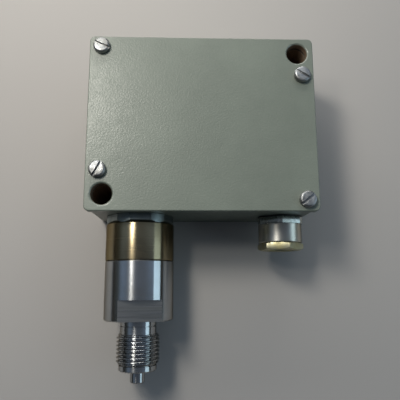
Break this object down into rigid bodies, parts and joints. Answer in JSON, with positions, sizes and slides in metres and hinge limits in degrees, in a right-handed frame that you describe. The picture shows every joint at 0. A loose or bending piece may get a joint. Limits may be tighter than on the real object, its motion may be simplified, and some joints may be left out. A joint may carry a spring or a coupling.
{
  "type": "pressure sensor",
  "caption": "Wall-mounted pressure transmitter: cast box with a screwed lid, turned pressure connection with pipe thread and nipple, and a cable gland.",
  "frame": {"origin": "centre of the housing's flat back, the face that lies on the wall", "axes": "+Z out of the wall through the cover, +X to the right and +Y up as seen from the front; the pressure connection and the gland point along -Y"},
  "size_m": [0.11, 0.1667, 0.0455],
  "materials": {
    "housing_paint": "satin",
    "cover_paint": "fine orange peel",
    "screw_steel": "worn zinc plate",
    "carrier_metal": "satin",
    "sleeve_steel": "turned, brown tone",
    "connection_steel": "turned",
    "gland_plate": "nickel-plated",
    "rubber": "matt",
    "inner_steel": "plain",
    "board": "solder mask",
    "dark_plastic": "matt",
    "grey_plastic": "matt",
    "lead_plastic": "insulation"
  },
  "bodies": {
    "root": {"housing": "housing_paint", "cover": "cover_paint", "cover_gasket": "rubber", "cover_screws": "screw_steel", "sensor_carrier": "carrier_metal", "carrier_oring": "rubber", "sleeve": "sleeve_steel", "process_connection": "connection_steel", "port_nozzle": "inner_steel", "sensing_cell": "inner_steel", "cell_oring": "rubber", "clamp_ring": "inner_steel", "lead_grommet": "rubber", "sensor_leads": "lead_plastic", "circuit_board": "board", "board_screws": "inner_steel", "terminal_block": "grey_plastic", "terminal_screws": "inner_steel", "lead_header": "dark_plastic", "amplifier_chip": "dark_plastic", "capacitors": "dark_plastic", "earth_screw": "inner_steel", "earth_washer": "inner_steel", "gland_gasket": "rubber", "gland_body": "gland_plate", "gland_washers": "inner_steel", "gland_seal": "rubber", "gland_screw": "gland_plate"}
  },
  "joints": []
}
